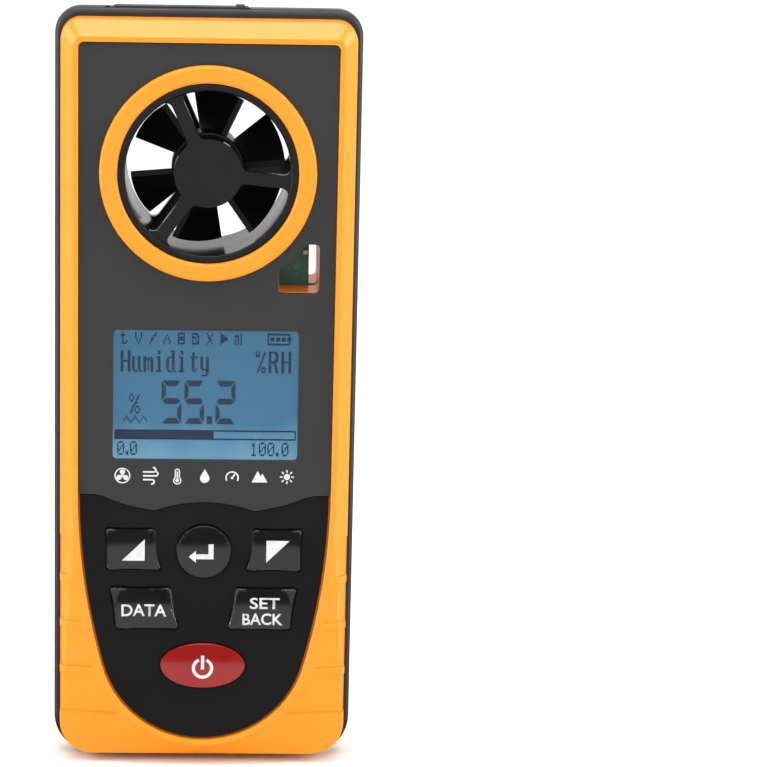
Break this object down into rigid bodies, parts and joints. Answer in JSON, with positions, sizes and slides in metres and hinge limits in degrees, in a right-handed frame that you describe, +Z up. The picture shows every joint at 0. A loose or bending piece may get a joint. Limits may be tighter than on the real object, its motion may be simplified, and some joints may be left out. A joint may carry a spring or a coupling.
{
  "type": "handheld weather meter",
  "caption": "Upright handheld weather meter with a through-flow fan, a lit screen, a keypad, a sensor window and a rear battery door.",
  "frame": {"origin": "on the bottom edge of the case, in the middle of its width and thickness", "axes": "+Z up the long axis towards the fan; the screen and keys face -Y; the battery door faces +Y; +X is to the right when looking at the screen"},
  "size_m": [0.058, 0.023, 0.1455],
  "materials": {
    "case_amber": "fine-textured moulded ABS, amber orange",
    "band_black": "satin moulded black",
    "panel_grey": "matt printed panel, dark grey",
    "keypad_black": "satin black",
    "clear_window": "clear acrylic",
    "screen_blue": "lit liquid crystal screen, blue",
    "white_plastic": "diffusing white",
    "black_plastic": "black moulded",
    "rubber_dark": "silicone rubber",
    "plated_metal": "nickel plated",
    "board_green": "green solder mask",
    "chip_black": "moulded epoxy",
    "glass_bead": "glass coated bead",
    "duct_black": "gloss black",
    "brass": "turned brass",
    "flex_brown": "polyimide flat lead",
    "rotor_black": "gloss black moulded",
    "steel": "zinc plated or stainless",
    "magnet_grey": "sintered ferrite",
    "foam_black": "closed-cell foam",
    "black_steel": "black oxide",
    "flap_rubber": "moulded rubber, dark grey",
    "key_black": "gloss black key cap",
    "key_red": "gloss red key cap"
  },
  "bodies": {
    "case": {"front_shell": "case_amber", "rear_shell": "case_amber", "middle_frame": "band_black", "display_panel": "panel_grey", "keypad_fascia": "keypad_black", "screen_window": "clear_window", "screen_glass": "screen_blue", "screen_backlight": "white_plastic", "screen_frame": "black_plastic", "screen_connector": "rubber_dark", "keypad_mat": "rubber_dark", "dome_switches": "plated_metal", "main_board": "board_green", "board_chips": "chip_black", "pressure_sensor": "plated_metal", "data_socket": "plated_metal", "sensor_board": "board_green", "humidity_sensor": "chip_black", "thermistor": "glass_bead", "vane_frame_front": "duct_black", "vane_frame_rear": "duct_black", "vane_bearing_front": "brass", "vane_bearing_rear": "brass", "vane_sensor": "chip_black", "vane_sensor_lead": "flex_brown", "battery_tray": "black_plastic", "coin_cell_lower": "steel", "coin_cell_upper": "steel", "contact_lower": "plated_metal", "contact_upper": "plated_metal", "contact_link": "plated_metal", "door_nut": "brass", "case_screws": "black_steel", "board_screws": "steel", "flap_pin": "steel"},
    "rotor_body": {"rotor": "rotor_black", "rotor_shaft": "steel", "rotor_magnet": "magnet_grey"},
    "door_body": {"battery_door": "case_amber", "door_pad": "foam_black"},
    "door_screw_body": {"door_screw": "steel"},
    "flap_body": {"port_flap": "flap_rubber"},
    "key_up_body": {"key_up": "key_black"},
    "key_enter_body": {"key_enter": "key_black"},
    "key_down_body": {"key_down": "key_black"},
    "key_func_body": {"key_func": "key_black"},
    "key_unit_body": {"key_unit": "key_black"},
    "key_power_body": {"key_power": "key_red"}
  },
  "joints": [
    {"name": "rotor_spin", "type": "hinge", "parent": "case", "child": "rotor_body", "pos_m": [0, 0, 0.1149], "axis": [0, 1, 0], "continuous": true},
    {"name": "key_up_press", "type": "slide", "parent": "case", "child": "key_up_body", "axis": [0, 1, 0], "range_m": [0, 0.0005], "stiffness_N_per_m": 2400, "springref_m": -0.00004},
    {"name": "key_enter_press", "type": "slide", "parent": "case", "child": "key_enter_body", "axis": [0, 1, 0], "range_m": [0, 0.0005], "stiffness_N_per_m": 2400, "springref_m": -0.00004},
    {"name": "key_down_press", "type": "slide", "parent": "case", "child": "key_down_body", "axis": [0, 1, 0], "range_m": [0, 0.0005], "stiffness_N_per_m": 2400, "springref_m": -0.00004},
    {"name": "key_func_press", "type": "slide", "parent": "case", "child": "key_func_body", "axis": [0, 1, 0], "range_m": [0, 0.0005], "stiffness_N_per_m": 2400, "springref_m": -0.00004},
    {"name": "key_unit_press", "type": "slide", "parent": "case", "child": "key_unit_body", "axis": [0, 1, 0], "range_m": [0, 0.0005], "stiffness_N_per_m": 2400, "springref_m": -0.00004},
    {"name": "key_power_press", "type": "slide", "parent": "case", "child": "key_power_body", "axis": [0, 1, 0], "range_m": [0, 0.0005], "stiffness_N_per_m": 2400, "springref_m": -0.00004},
    {"name": "battery_door_tilt", "type": "hinge", "parent": "case", "child": "door_body", "pos_m": [0, 0.0115, 0.0828], "axis": [1, 0, 0], "range_deg": [0, 30]},
    {"name": "door_screw_turn", "type": "hinge", "parent": "door_body", "child": "door_screw_body", "pos_m": [0, 0.0114, 0.0146], "axis": [0, 1, 0], "continuous": true},
    {"name": "port_flap_open", "type": "hinge", "parent": "case", "child": "flap_body", "pos_m": [-0.0179, 0, 0.1437], "axis": [0, -1, 0], "range_deg": [0, 90]}
  ]
}
